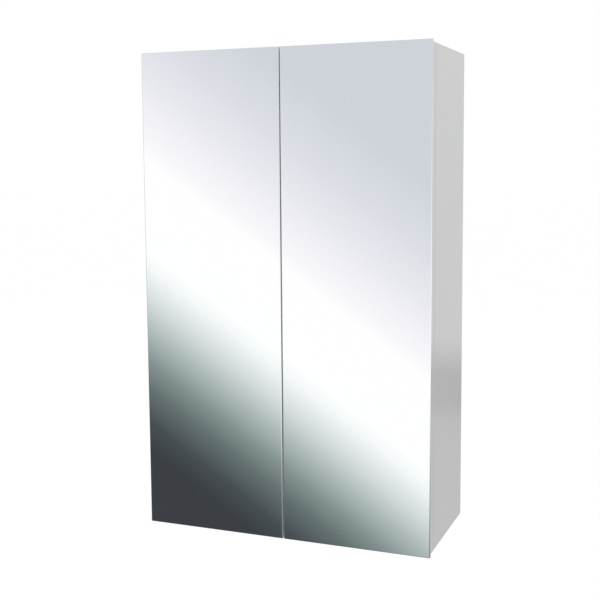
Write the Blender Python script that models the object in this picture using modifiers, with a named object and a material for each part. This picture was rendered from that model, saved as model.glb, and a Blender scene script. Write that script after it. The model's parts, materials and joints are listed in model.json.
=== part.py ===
"""Wall-hung bathroom mirror cabinet with two mirrored doors on concealed hinges.

Frame: metres, +Z up, the doors face -Y and the wall is the plane Y = 0.
The origin is the middle of the upper fixing rail's back face, between its two wall screw holes.
Hinge shapes are laid out in a plan of their own: u runs from the side panel's outer face towards
the middle of the cabinet, and v runs from the carcass's front edge towards the room.
"""
import math

import bmesh
import bpy
from mathutils import Matrix, Vector

# Gap kept between touching pieces
SEAM = 0.0003

# Carcass
CARCASS_WIDTH = 0.448
CARCASS_HEIGHT = 0.720
CARCASS_DEPTH = 0.174
PANEL_THICKNESS = 0.016
PANEL_EDGE = 0.0006
BACK_THICKNESS = 0.003
BACK_GROOVE = 0.006
RAIL_THICKNESS = 0.016
RAIL_HEIGHT = 0.080
WALL_HOLE_RADIUS = 0.003
WALL_HOLE_SPACING = 0.320

# Doors and mirrors
BOARD_THICKNESS = 0.016
GLASS_THICKNESS = 0.005
PENCIL_EDGE = 0.0012
DOOR_GAP = 0.0015
MEETING_GAP = 0.0012
BOARD_SETBACK = 0.0005
SIDE_OVERHANG = 0.001
END_OVERHANG = 0.003
BUMPER_RADIUS = 0.004
BUMPER_CROWN_RADIUS = 0.0024
BUMPER_SHOULDER = 0.0006
BUMPER_INSET = 0.012

# Shelves, their pins and the rows of pin holes
SHELF_COUNT = 2
SHELF_THICKNESS = 0.006
SHELF_FRONT_SETBACK = 0.012
SHELF_BACK_CLEARANCE = 0.003
SHELF_END_CLEARANCE = 0.0004
SHELF_EDGE = 0.0006
PIN_HOLE_RADIUS = 0.0028
PIN_HOLE_DEPTH = 0.0100
PIN_HOLE_PITCH = 0.032
PIN_HOLES_PER_GROUP = 3
PIN_ROW_INSET = 0.030
PIN_SHANK_LENGTH = 0.009
PIN_COLLAR_RADIUS = 0.0042
PIN_COLLAR_LENGTH = 0.0015
PIN_PEG_RADIUS = 0.0025
PIN_PEG_LENGTH = 0.009

# Hinges, placed on the door
HINGE_END_DISTANCE = 0.100
CUP_RADIUS = 0.0175
CUP_DEPTH = 0.012
CUP_WALL = 0.001
CUP_EDGE_DISTANCE = 0.0055
FLANGE_THICKNESS = 0.0008
FLANGE_PLATE = 0.0007
FLANGE_LIP = 0.001
FLANGE_LENGTH = 0.054
FLANGE_REACH = 0.0155

# Hinge linkage, doors shut: places in the plan from the middle of the cup's mouth
OUTER_FIXED_OFFSET = (0.0203, -0.0108)
OUTER_MOVING_OFFSET = (-0.0105, 0.0028)
OUTER_BEND_OFFSETS = ((-0.0040, 0.0031), (0.0009, -0.0015))
INNER_FIXED_OFFSET = (0.0119, 0.0065)
INNER_MOVING_OFFSET = (-0.0083, 0.0067)
INNER_BEND_OFFSETS = ((0.0028, 0.0088),)
HINGE_PIN_RADIUS = 0.0010
HINGE_PIN_PLAY = 0.0003
OPEN_PIVOT_PLAY = 0.00145
LINK_HALF_WIDTH = 0.0014
BEND_REACH = 0.0028
LINK_EYE_RADIUS = 0.0019
INNER_LINK_HALF_HEIGHT = 0.0030
OUTER_CHEEK = (0.0034, 0.0050)
ARM_CHEEK = (0.0054, 0.0066)
ARM_EYE_RADIUS = 0.0022
ARM_NECK_BACK = 0.0020
ARM_NECK_FRONT = 0.0010
SHOULDER_ARC = (-125, 35)
LUG = (0.0056, 0.0095)
LUG_MARGIN = 0.0009

# Hinge arm and mounting plate
ARM_REAR = 0.062
ARM_CHEEK_HEIGHT = 0.006
ARM_WEB = 0.0016
PLATE_BLOCK_HEIGHT = 0.0078
PLATE_BLOCK_START = 0.026
PLATE_BLOCK_END = 0.058
PLATE_WING_HEIGHT = 0.0020
PLATE_WING_LENGTH = 0.046
PLATE_WING_WIDTH = 0.014
PLATE_SCREW_LINE = 0.037
PLATE_SCREW_SPACING = 0.032
SCREW_SHANK_RADIUS = 0.0019
SCREW_SHANK_LENGTH = 0.0105
SCREW_HEAD_RADIUS = 0.0034
SCREW_HEAD_HEIGHT = 0.0016
SCREW_CROWN_RADIUS = 0.0025
SCREW_RIM_HEIGHT = 0.0010
ADJUSTER_LINE = 0.048
ADJUSTER_DEPTH = 0.0050

# Facets
FINE_SIDES = 32
SMALL_SIDES = 12
ARC_STEPS = 6
BEND_STEPS = 3

# Derived places
TOP_Z = RAIL_HEIGHT / 2 + SEAM + PANEL_THICKNESS
BOTTOM_Z = TOP_Z - CARCASS_HEIGHT
FRONT_Y = -CARCASS_DEPTH
DOOR_BACK_Y = FRONT_Y - DOOR_GAP
DOOR_FRONT_Y = DOOR_BACK_Y - BOARD_THICKNESS
MIRROR_BACK_Y = DOOR_FRONT_Y - SEAM
MIRROR_FRONT_Y = MIRROR_BACK_Y - GLASS_THICKNESS
SIDE_INNER_X = CARCASS_WIDTH / 2 - PANEL_THICKNESS
INSIDE_TOP_Z = TOP_Z - PANEL_THICKNESS
INSIDE_BOTTOM_Z = BOTTOM_Z + PANEL_THICKNESS
BACK_REAR_Y = -RAIL_THICKNESS - SEAM
BACK_FRONT_Y = BACK_REAR_Y - BACK_THICKNESS
CUP_U = CUP_EDGE_DISTANCE + CUP_RADIUS
CUP_INNER_RADIUS = CUP_RADIUS - CUP_WALL
CUP_MOUTH = Vector((CUP_U, DOOR_GAP))
OUTER_FIXED = CUP_MOUTH + Vector(OUTER_FIXED_OFFSET)
OUTER_MOVING = CUP_MOUTH + Vector(OUTER_MOVING_OFFSET)
OUTER_BENDS = [CUP_MOUTH + Vector(offset) for offset in OUTER_BEND_OFFSETS]
INNER_FIXED = CUP_MOUTH + Vector(INNER_FIXED_OFFSET)
INNER_MOVING = CUP_MOUTH + Vector(INNER_MOVING_OFFSET)
INNER_BENDS = [CUP_MOUTH + Vector(offset) for offset in INNER_BEND_OFFSETS]
PLATE_BASE_U = PANEL_THICKNESS + SEAM
PLATE_TOP_U = PLATE_BASE_U + PLATE_BLOCK_HEIGHT
ARM_TOP_U = PLATE_TOP_U + SEAM + ARM_WEB
SIDES = {"left": 1, "right": -1}
LEVELS = {"lower": BOTTOM_Z + HINGE_END_DISTANCE, "upper": TOP_Z - HINGE_END_DISTANCE}

PARTS = None
CUTTERS = None


# ---------------------------------------------------------------- tools

def new_collection(name):
    group = bpy.data.collections.new(name)
    bpy.context.scene.collection.children.link(group)
    return group


def make_material(name, colour, roughness, metallic=0.0):
    finish = bpy.data.materials.new(name)
    finish.use_nodes = True
    shader = finish.node_tree.nodes["Principled BSDF"]
    shader.inputs["Base Color"].default_value = (*colour, 1.0)
    shader.inputs["Roughness"].default_value = roughness
    shader.inputs["Metallic"].default_value = metallic
    return finish


def new_object(name, mesh, matrix):
    """Link a mesh as an object at a world matrix, among the cutters until finish_part takes it."""
    item = bpy.data.objects.new(name, mesh)
    item.matrix_world = matrix
    CUTTERS.objects.link(item)
    item.hide_render = True
    item.display_type = "WIRE"
    return item


def mesh_from(bm, name):
    mesh = bpy.data.meshes.new(name)
    bm.to_mesh(mesh)
    bm.free()
    return mesh


def block(name, corner_a, corner_b):
    """A box between two opposite corners, with its origin at its middle."""
    size = [abs(b - a) for a, b in zip(corner_a, corner_b)]
    middle = (Vector(corner_a) + Vector(corner_b)) / 2
    bm = bmesh.new()
    bmesh.ops.create_cube(bm, size=1.0)
    bmesh.ops.scale(bm, vec=size, verts=bm.verts)
    return new_object(name, mesh_from(bm, name), Matrix.Translation(middle))


def rod(name, start, end, radius, sides=SMALL_SIDES):
    """A round bar between two points."""
    start, end = Vector(start), Vector(end)
    bm = bmesh.new()
    bmesh.ops.create_cone(bm, cap_ends=True, segments=sides, radius1=radius, radius2=radius,
                          depth=(end - start).length)
    turn = (end - start).to_track_quat("Z", "Y").to_matrix().to_4x4()
    return new_object(name, mesh_from(bm, name), Matrix.Translation((start + end) / 2) @ turn)


def turned(name, profile, place, direction, sides):
    """A profile of (radius, height) points turned about a line through place along direction."""
    bm = bmesh.new()
    points = [bm.verts.new((radius, 0.0, height)) for radius, height in profile]
    for first, second in zip(points, points[1:]):
        bm.edges.new((first, second))
    turn = Vector(direction).to_track_quat("Z", "Y").to_matrix().to_4x4()
    item = new_object(name, mesh_from(bm, name), Matrix.Translation(place) @ turn)
    screw = item.modifiers.new("Turn", "SCREW")
    screw.steps = screw.render_steps = sides
    screw.use_merge_vertices = True
    screw.merge_threshold = 0.00001
    screw.use_smooth_shade = False
    return item


def slab(name, outline, low_z, high_z):
    """A flat outline of (x, y) points as a solid between two heights."""
    curve = bpy.data.curves.new(name, "CURVE")
    curve.dimensions = "2D"
    curve.fill_mode = "BOTH"
    curve.extrude = (high_z - low_z) / 2
    spline = curve.splines.new("POLY")
    spline.points.add(len(outline) - 1)
    for point, (x, y) in zip(spline.points, outline):
        point.co = (x, y, 0.0, 1.0)
    spline.use_cyclic_u = True
    guide = bpy.data.objects.new(name, curve)
    CUTTERS.objects.link(guide)
    guide.location.z = (low_z + high_z) / 2
    bpy.context.view_layer.update()
    evaluated = guide.evaluated_get(bpy.context.evaluated_depsgraph_get())
    mesh = bpy.data.meshes.new_from_object(evaluated)
    matrix = guide.matrix_world.copy()
    bpy.data.objects.remove(guide)
    bm = bmesh.new()
    bm.from_mesh(mesh)
    bmesh.ops.remove_doubles(bm, verts=bm.verts, dist=0.000001)
    bmesh.ops.recalc_face_normals(bm, faces=bm.faces)
    bm.to_mesh(mesh)
    bm.free()
    return new_object(name, mesh, matrix)


def combine(target, operation, *others):
    for other in others:
        step = target.modifiers.new(operation.title(), "BOOLEAN")
        step.operation = operation
        step.solver = "EXACT"
        step.object = other
    return target


def cut(target, *cutters):
    return combine(target, "DIFFERENCE", *cutters)


def unite(target, *others):
    return combine(target, "UNION", *others)


def soften(target, width, segments=1):
    step = target.modifiers.new("Edges", "BEVEL")
    step.width = width
    step.segments = segments
    step.limit_method = "ANGLE"
    return target


def finish_part(item, finish, axis=None):
    """Move a finished solid into the object's collection and hang it on its joint's axis."""
    CUTTERS.objects.unlink(item)
    PARTS.objects.link(item)
    item.hide_render = False
    item.display_type = "TEXTURED"
    item.data.materials.clear()
    item.data.materials.append(finish)
    if axis:
        item.parent = axis
        item.matrix_parent_inverse = axis.matrix_world.inverted()
    return item


def axis_empty(name, x, y):
    """An empty on a vertical joint axis, which the moving pieces hang on."""
    empty = bpy.data.objects.new(name, None)
    empty.empty_display_type = "SINGLE_ARROW"
    empty.location = (x, y, BOTTOM_Z)
    PARTS.objects.link(empty)
    bpy.context.view_layer.update()
    return empty


# ---------------------------------------------------------------- plan of a hinge

def plan_x(side, u):
    return side * (u - CARCASS_WIDTH / 2)


def plan_point(side, u, v, z):
    return (plan_x(side, u), FRONT_Y - v, z)


def plan_outline(side, points):
    return [(plan_x(side, u), FRONT_Y - v) for u, v in points]


def arc(centre, radius, start, end):
    """Points on an arc in the plan, angles in degrees."""
    turns = [math.radians(start + (end - start) * step / ARC_STEPS) for step in range(ARC_STEPS + 1)]
    return [(centre[0] + radius * math.cos(t), centre[1] + radius * math.sin(t)) for t in turns]


def bent_path(points):
    """A line through the first and last points that rounds each point between them."""
    points = [Vector(point) for point in points]
    path = [points[0]]
    for before, corner, after in zip(points, points[1:], points[2:]):
        start = corner + (before - corner).normalized() * BEND_REACH
        end = corner + (after - corner).normalized() * BEND_REACH
        for step in range(BEND_STEPS + 1):
            t = step / BEND_STEPS
            path.append(start.lerp(corner, t).lerp(corner.lerp(end, t), t))
    return path + [points[-1]]


def bent_link_outline(points):
    """A flat link of even width along a bent path."""
    path = bent_path(points)
    near, far = [], []
    for index, place in enumerate(path):
        along = path[min(index + 1, len(path) - 1)] - path[max(index - 1, 0)]
        across = Vector((-along.y, along.x)).normalized() * LINK_HALF_WIDTH
        near.append(tuple(place + across))
        far.append(tuple(place - across))
    return near + far[::-1]


def both_heights(level, span):
    """The two height ranges of a pair of cheeks that stand either side of a hinge's middle."""
    inner, outer = span
    return [(level + inner, level + outer), (level - outer, level - inner)]


def pivot_rod(name, side, pivot, level, half_height, radius):
    low = plan_point(side, *pivot, level - half_height)
    high = plan_point(side, *pivot, level + half_height)
    return rod(name, low, high, radius)


# ---------------------------------------------------------------- carcass

def pin_levels(shelf):
    """Heights of one group of pin holes, the middle one in use."""
    spread = (PIN_HOLES_PER_GROUP - 1) / 2
    return [shelf_pin_z(shelf) + (step - spread) * PIN_HOLE_PITCH for step in range(PIN_HOLES_PER_GROUP)]


def shelf_bottom_z(shelf):
    """Underside of a shelf, with the shelves sharing the inside height evenly."""
    clear = INSIDE_TOP_Z - INSIDE_BOTTOM_Z - SHELF_COUNT * SHELF_THICKNESS
    opening = clear / (SHELF_COUNT + 1)
    return INSIDE_BOTTOM_Z + opening * (shelf + 1) + SHELF_THICKNESS * shelf


def shelf_pin_z(shelf):
    return shelf_bottom_z(shelf) - SEAM - PIN_PEG_RADIUS


def pin_rows():
    """Y of the front and the back row of pin holes."""
    front = FRONT_Y + SHELF_FRONT_SETBACK + PIN_ROW_INSET
    back = BACK_FRONT_Y - SHELF_BACK_CLEARANCE - PIN_ROW_INSET
    return {"front": front, "back": back}


def back_panel_corners(grow=0.0):
    """Corners of the back panel, whose edges sit in grooves; grow gives the groove's size."""
    half = SIDE_INNER_X + BACK_GROOVE - SEAM + grow
    low = (-half, BACK_FRONT_Y - grow, INSIDE_BOTTOM_Z - BACK_GROOVE + SEAM - grow)
    high = (half, BACK_REAR_Y + grow, INSIDE_TOP_Z + BACK_GROOVE - SEAM + grow)
    return low, high


def side_panel(side_name, side, finish):
    outer = plan_x(side, 0.0)
    inner = plan_x(side, PANEL_THICKNESS)
    panel = block(f"side_panel_{side_name}", (outer, FRONT_Y, BOTTOM_Z), (inner, 0.0, TOP_Z))
    soften(panel, PANEL_EDGE)
    holes = [block("groove", *back_panel_corners(SEAM))]
    deep, mouth = plan_x(side, PANEL_THICKNESS - PIN_HOLE_DEPTH), plan_x(side, PANEL_THICKNESS + SEAM)
    for shelf in range(SHELF_COUNT):
        for row_y in pin_rows().values():
            for z in pin_levels(shelf):
                holes.append(rod("pin_hole", (deep, row_y, z), (mouth, row_y, z), PIN_HOLE_RADIUS))
    for level in LEVELS.values():
        for z in screw_levels(level):
            start = plan_point(side, PANEL_THICKNESS - SCREW_SHANK_LENGTH, -PLATE_SCREW_LINE, z)
            end = plan_point(side, PANEL_THICKNESS + SEAM, -PLATE_SCREW_LINE, z)
            holes.append(rod("screw_hole", start, end, SCREW_SHANK_RADIUS + SEAM))
    return finish_part(cut(panel, *holes), finish)


def end_panel(name, low_z, high_z, finish):
    half = SIDE_INNER_X - SEAM
    panel = block(name, (-half, FRONT_Y, low_z), (half, 0.0, high_z))
    soften(panel, PANEL_EDGE)
    return finish_part(cut(panel, block("groove", *back_panel_corners(SEAM))), finish)


def wall_holes(low_y, high_y, z):
    places = (-WALL_HOLE_SPACING / 2, WALL_HOLE_SPACING / 2)
    return [rod("wall_hole", (x, low_y, z), (x, high_y, z), WALL_HOLE_RADIUS) for x in places]


def rail_middles():
    """Heights of the two fixing rails' middles; the upper one is the origin's height."""
    return {"upper": 0.0, "lower": INSIDE_BOTTOM_Z + SEAM + RAIL_HEIGHT / 2}


def fixing_rail(rail_name, middle, finish):
    half = SIDE_INNER_X - SEAM
    low = (-half, -RAIL_THICKNESS, middle - RAIL_HEIGHT / 2)
    high = (half, 0.0, middle + RAIL_HEIGHT / 2)
    rail = soften(block(f"fixing_rail_{rail_name}", low, high), PANEL_EDGE)
    return finish_part(cut(rail, *wall_holes(-RAIL_THICKNESS - SEAM, SEAM, middle)), finish)


def back_panel(finish):
    panel = block("back_panel", *back_panel_corners())
    for middle in rail_middles().values():
        cut(panel, *wall_holes(BACK_FRONT_Y - SEAM, BACK_REAR_Y + SEAM, middle))
    return finish_part(panel, finish)


# ---------------------------------------------------------------- shelves

def shelf(number, finish):
    half = SIDE_INNER_X - SEAM - PIN_COLLAR_LENGTH - SHELF_END_CLEARANCE
    low = (-half, FRONT_Y + SHELF_FRONT_SETBACK, shelf_bottom_z(number))
    high = (half, BACK_FRONT_Y - SHELF_BACK_CLEARANCE, shelf_bottom_z(number) + SHELF_THICKNESS)
    return finish_part(soften(block(f"shelf_{number + 1}", low, high), SHELF_EDGE), finish)


def shelf_pin(number, side_name, side, row_name, row_y, finish):
    """A turned pin: shank in the side panel, collar against it, peg under the shelf."""
    shank_radius = PIN_HOLE_RADIUS - SEAM
    collar = SEAM + PIN_COLLAR_LENGTH
    profile = [(0.0, collar + PIN_PEG_LENGTH), (PIN_PEG_RADIUS, collar + PIN_PEG_LENGTH),
               (PIN_PEG_RADIUS, collar), (PIN_COLLAR_RADIUS, collar), (PIN_COLLAR_RADIUS, SEAM),
               (shank_radius, SEAM), (shank_radius, -PIN_SHANK_LENGTH), (0.0, -PIN_SHANK_LENGTH)]
    place = (plan_x(side, PANEL_THICKNESS), row_y, shelf_pin_z(number))
    name = f"shelf_pin_{number + 1}_{side_name}_{row_name}"
    return finish_part(turned(name, profile, place, (side, 0, 0), SMALL_SIDES), finish)


# ---------------------------------------------------------------- doors

def door_board(side_name, side, axis, finish):
    outer = plan_x(side, 0.0)
    meeting = -side * (MEETING_GAP / 2 + BOARD_SETBACK)
    low, high = (outer, DOOR_FRONT_Y, BOTTOM_Z), (meeting, DOOR_BACK_Y, TOP_Z)
    board = soften(block(f"door_board_{side_name}", low, high), PANEL_EDGE)
    for level in LEVELS.values():
        mouth = plan_point(side, CUP_U, DOOR_GAP - SEAM, level)
        floor = plan_point(side, CUP_U, DOOR_GAP + CUP_DEPTH + SEAM, level)
        cut(board, rod("cup_hole", mouth, floor, CUP_RADIUS + SEAM, FINE_SIDES))
    return finish_part(board, finish, axis)


def door_mirror(side_name, side, axis, finish):
    outer = plan_x(side, -SIDE_OVERHANG)
    meeting = -side * MEETING_GAP / 2
    low = (outer, MIRROR_FRONT_Y, BOTTOM_Z - END_OVERHANG)
    high = (meeting, MIRROR_BACK_Y, TOP_Z + END_OVERHANG)
    mirror = soften(block(f"mirror_{side_name}", low, high), PENCIL_EDGE, 2)
    return finish_part(mirror, finish, axis)


def door_bumper(side_name, side, end_name, z, axis, finish):
    """A domed pad on the door's back that meets the carcass's front edge."""
    height = DOOR_GAP - 2 * SEAM
    profile = [(0.0, height), (BUMPER_CROWN_RADIUS, height - SEAM / 2),
               (BUMPER_RADIUS, height - BUMPER_SHOULDER), (BUMPER_RADIUS, 0.0), (0.0, 0.0)]
    place = (-side * BUMPER_INSET, DOOR_BACK_Y + SEAM, z)
    name = f"door_bumper_{side_name}_{end_name}"
    return finish_part(turned(name, profile, place, (0, 1, 0), SMALL_SIDES), finish, axis)


# ---------------------------------------------------------------- hinges

def hinge_cup(tag, side, level, axis, finish):
    """The cup in the door with its flange and the two lugs that carry the links' pins."""
    lip = CUP_RADIUS + FLANGE_LIP
    top, floor = SEAM + FLANGE_THICKNESS, -CUP_DEPTH
    profile = [(0.0, floor + CUP_WALL), (CUP_INNER_RADIUS, floor + CUP_WALL), (CUP_INNER_RADIUS, top),
               (lip, top), (lip, SEAM), (CUP_RADIUS, SEAM), (CUP_RADIUS, floor), (0.0, floor)]
    place = plan_point(side, CUP_U, DOOR_GAP, level)
    cup = turned(f"hinge_cup_{tag}", profile, place, (0, 1, 0), FINE_SIDES)
    flange = flange_plate(side, level)
    lugs = [cup_lug(side, heights) for heights in both_heights(level, LUG)]
    unite(cup, flange, *lugs)
    reach = LUG[1] + SEAM
    cut(cup, pivot_rod("outer_eye", side, OUTER_MOVING, level, reach, HINGE_PIN_RADIUS + HINGE_PIN_PLAY))
    cut(cup, pivot_rod("inner_eye", side, INNER_MOVING, level, reach, HINGE_PIN_RADIUS + OPEN_PIVOT_PLAY))
    return finish_part(cup, finish, axis)


def flange_plate(side, level):
    """The flange's plate, opened over the cup's mouth."""
    low = plan_point(side, CUP_U, DOOR_GAP - SEAM, level - FLANGE_LENGTH / 2)
    top = DOOR_GAP - SEAM - FLANGE_PLATE
    high = plan_point(side, CUP_U + FLANGE_REACH, top, level + FLANGE_LENGTH / 2)
    mouth = rod("flange_mouth", plan_point(side, CUP_U, DOOR_GAP + SEAM, level),
                plan_point(side, CUP_U, -SEAM, level), CUP_INNER_RADIUS + CUP_WALL / 2, FINE_SIDES)
    return cut(block("flange_plate", low, high), mouth)


def cup_lug(side, heights):
    near = OUTER_MOVING[0] - HINGE_PIN_RADIUS - HINGE_PIN_PLAY - LUG_MARGIN
    far = INNER_MOVING[0] + HINGE_PIN_RADIUS + OPEN_PIVOT_PLAY + LUG_MARGIN
    top = OUTER_MOVING[1] - HINGE_PIN_RADIUS - HINGE_PIN_PLAY - LUG_MARGIN
    root = DOOR_GAP + CUP_DEPTH - CUP_WALL / 2
    return block("cup_lug", plan_point(side, near, top, heights[0]), plan_point(side, far, root, heights[1]))


def outer_link(tag, side, level, axis, finish):
    """Two bent cheeks on a sleeve at the arm, with pins into the arm and into the cup's lugs."""
    outline = plan_outline(side, bent_link_outline((OUTER_MOVING, *OUTER_BENDS, OUTER_FIXED)))
    link = pivot_rod(f"hinge_outer_link_{tag}", side, OUTER_FIXED, level, OUTER_CHEEK[1], LINK_EYE_RADIUS)
    for low_z, high_z in both_heights(level, OUTER_CHEEK):
        unite(link, slab("outer_cheek", outline, low_z, high_z))
        eye = [plan_point(side, *OUTER_MOVING, z) for z in (low_z, high_z)]
        unite(link, rod("outer_eye", *eye, LINK_EYE_RADIUS))
    for low_z, high_z in both_heights(level, (OUTER_CHEEK[0] + SEAM, LUG[1] - SEAM)):
        pin = [plan_point(side, *OUTER_MOVING, z) for z in (low_z, high_z)]
        unite(link, rod("outer_pin", *pin, HINGE_PIN_RADIUS))
    unite(link, pivot_rod("arm_pin", side, OUTER_FIXED, level, ARM_CHEEK[1], HINGE_PIN_RADIUS))
    return finish_part(link, finish, axis)


def inner_link(tag, side, level, axis, finish):
    """One thick bent bar between the outer link's cheeks, with a pin through each end."""
    outline = plan_outline(side, bent_link_outline((INNER_MOVING, *INNER_BENDS, INNER_FIXED)))
    half = INNER_LINK_HALF_HEIGHT
    link = slab(f"hinge_inner_link_{tag}", outline, level - half, level + half)
    for pivot, reach in ((INNER_FIXED, ARM_CHEEK[1]), (INNER_MOVING, LUG[1] - SEAM)):
        unite(link, pivot_rod("inner_eye", side, pivot, level, half - SEAM / 2, LINK_EYE_RADIUS))
        unite(link, pivot_rod("inner_pin", side, pivot, level, reach, HINGE_PIN_RADIUS))
    return finish_part(link, finish, axis)


def arm_outline():
    """A cheek of the arm: an eye for each link at the nose, and a straight stretch over the plate."""
    low_u = ARM_TOP_U - ARM_CHEEK_HEIGHT
    nose = arc(INNER_FIXED, ARM_EYE_RADIUS, 0, 180)
    back = [(INNER_FIXED.x - ARM_EYE_RADIUS, -ARM_NECK_BACK), (low_u, -PLATE_BLOCK_START),
            (low_u, -ARM_REAR), (ARM_TOP_U, -ARM_REAR), (ARM_TOP_U, -PLATE_BLOCK_START)]
    shoulder = arc(OUTER_FIXED, ARM_EYE_RADIUS, *SHOULDER_ARC)
    return nose + back + shoulder + [(INNER_FIXED.x + ARM_EYE_RADIUS, -ARM_NECK_FRONT)]


def hinge_arm(tag, side, level, finish):
    """A channel: two cheeks with the links' eyes at the nose, joined by a web over the plate."""
    outline = plan_outline(side, arm_outline())
    above, below = both_heights(level, ARM_CHEEK)
    middle = (ARM_CHEEK[0] + ARM_CHEEK[1]) / 2
    web = block("arm_web", plan_point(side, ARM_TOP_U, -PLATE_BLOCK_START - ARM_WEB, level - middle),
                plan_point(side, ARM_TOP_U - ARM_WEB, -ARM_REAR, level + middle))
    arm = unite(slab(f"hinge_arm_{tag}", outline, *above), slab("arm_cheek", outline, *below), web)
    eye_radius = HINGE_PIN_RADIUS + HINGE_PIN_PLAY
    for pivot in (OUTER_FIXED, INNER_FIXED):
        cut(arm, pivot_rod("arm_eye", side, pivot, level, ARM_CHEEK[1] + SEAM, eye_radius))
    start = plan_point(side, ARM_TOP_U + SEAM, -ADJUSTER_LINE, level)
    end = plan_point(side, ARM_TOP_U - ARM_WEB - SEAM, -ADJUSTER_LINE, level)
    cut(arm, rod("adjuster_hole", start, end, SCREW_SHANK_RADIUS + SEAM))
    return finish_part(arm, finish)


def screw_levels(level):
    return [level - PLATE_SCREW_SPACING / 2, level + PLATE_SCREW_SPACING / 2]


def mounting_plate(tag, side, level, finish):
    """The plate on the side panel: a block under the arm and a wing each way for its screws."""
    half_block = ARM_CHEEK[0] - 2 * SEAM
    wing_top = PLATE_BASE_U + PLATE_WING_HEIGHT
    low = plan_point(side, PLATE_BASE_U, -PLATE_BLOCK_START, level - half_block)
    high = plan_point(side, PLATE_TOP_U, -PLATE_BLOCK_END, level + half_block)
    plate = block(f"hinge_plate_{tag}", low, high)
    near = PLATE_SCREW_LINE - PLATE_WING_WIDTH / 2
    far = PLATE_SCREW_LINE + PLATE_WING_WIDTH / 2
    wing = block("plate_wing", plan_point(side, PLATE_BASE_U, -near, level - PLATE_WING_LENGTH / 2),
                 plan_point(side, wing_top, -far, level + PLATE_WING_LENGTH / 2))
    unite(plate, soften(wing, PANEL_EDGE))
    for z in screw_levels(level):
        start = plan_point(side, PLATE_BASE_U - SEAM, -PLATE_SCREW_LINE, z)
        end = plan_point(side, wing_top + SEAM, -PLATE_SCREW_LINE, z)
        cut(plate, rod("wing_hole", start, end, SCREW_SHANK_RADIUS + SEAM))
    start = plan_point(side, PLATE_TOP_U - ADJUSTER_DEPTH - SEAM, -ADJUSTER_LINE, level)
    end = plan_point(side, PLATE_TOP_U + SEAM, -ADJUSTER_LINE, level)
    cut(plate, rod("adjuster_hole", start, end, SCREW_SHANK_RADIUS + SEAM))
    return finish_part(plate, finish)


def screw(name, side, seat_u, v, z, shank_length, finish):
    """A pan-head screw along u, its head on the face at seat_u."""
    head = SEAM + SCREW_HEAD_HEIGHT
    profile = [(0.0, head), (SCREW_CROWN_RADIUS, head), (SCREW_HEAD_RADIUS, SCREW_RIM_HEIGHT),
               (SCREW_HEAD_RADIUS, SEAM), (SCREW_SHANK_RADIUS, SEAM), (SCREW_SHANK_RADIUS, -shank_length),
               (0.0, -shank_length)]
    place = plan_point(side, seat_u, v, z)
    return finish_part(turned(name, profile, place, (side, 0, 0), SMALL_SIDES), finish)


def hinge_screws(tag, side, level, finish):
    wing_top = PLATE_BASE_U + PLATE_WING_HEIGHT
    depth = PLATE_WING_HEIGHT + SCREW_SHANK_LENGTH - SEAM
    for end_name, z in zip(("low", "high"), screw_levels(level)):
        screw(f"plate_screw_{tag}_{end_name}", side, wing_top, -PLATE_SCREW_LINE, z, depth, finish)
    screw(f"arm_screw_{tag}", side, ARM_TOP_U, -ADJUSTER_LINE, level, ARM_WEB + ADJUSTER_DEPTH, finish)


# ---------------------------------------------------------------- assembly

def make_finishes():
    return {
        "lacquer": make_material("white_lacquer", (0.80, 0.80, 0.80), 0.25),
        "hardboard": make_material("white_hardboard", (0.74, 0.74, 0.73), 0.5),
        "silver": make_material("silvered_glass", (0.90, 0.92, 0.92), 0.02, 1.0),
        "glass": make_material("clear_glass", (0.78, 0.88, 0.85), 0.05),
        "nickel": make_material("nickel_steel", (0.62, 0.61, 0.58), 0.3, 1.0),
        "bumper": make_material("clear_bumper", (0.75, 0.76, 0.77), 0.6),
    }


def build_carcass(finishes):
    lacquer = finishes["lacquer"]
    for side_name, side in SIDES.items():
        side_panel(side_name, side, lacquer)
    end_panel("top_panel", INSIDE_TOP_Z, TOP_Z, lacquer)
    end_panel("bottom_panel", BOTTOM_Z, INSIDE_BOTTOM_Z, lacquer)
    back_panel(finishes["hardboard"])
    for rail_name, middle in rail_middles().items():
        fixing_rail(rail_name, middle, lacquer)


def build_shelves(finishes):
    for number in range(SHELF_COUNT):
        shelf(number, finishes["glass"])
        for side_name, side in SIDES.items():
            for row_name, row_y in pin_rows().items():
                shelf_pin(number, side_name, side, row_name, row_y, finishes["nickel"])


def build_door(side_name, side, finishes):
    door_x, door_y, _ = plan_point(side, *OUTER_MOVING, 0.0)
    axis = axis_empty(f"axis_door_{side_name}", door_x, door_y)
    door_board(side_name, side, axis, finishes["lacquer"])
    door_mirror(side_name, side, axis, finishes["silver"])
    ends = {"lower": BOTTOM_Z + PANEL_THICKNESS / 2, "upper": TOP_Z - PANEL_THICKNESS / 2}
    for end_name, z in ends.items():
        door_bumper(side_name, side, end_name, z, axis, finishes["bumper"])
    return axis


def build_hinges(side_name, side, door_axis, finishes):
    nickel = finishes["nickel"]
    outer_axis = axis_empty(f"axis_outer_{side_name}", *plan_point(side, *OUTER_FIXED, 0.0)[:2])
    inner_axis = axis_empty(f"axis_inner_{side_name}", *plan_point(side, *INNER_FIXED, 0.0)[:2])
    for level_name, level in LEVELS.items():
        tag = f"{side_name}_{level_name}"
        hinge_cup(tag, side, level, door_axis, nickel)
        outer_link(tag, side, level, outer_axis, nickel)
        inner_link(tag, side, level, inner_axis, nickel)
        hinge_arm(tag, side, level, nickel)
        mounting_plate(tag, side, level, nickel)
        hinge_screws(tag, side, level, nickel)


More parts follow.
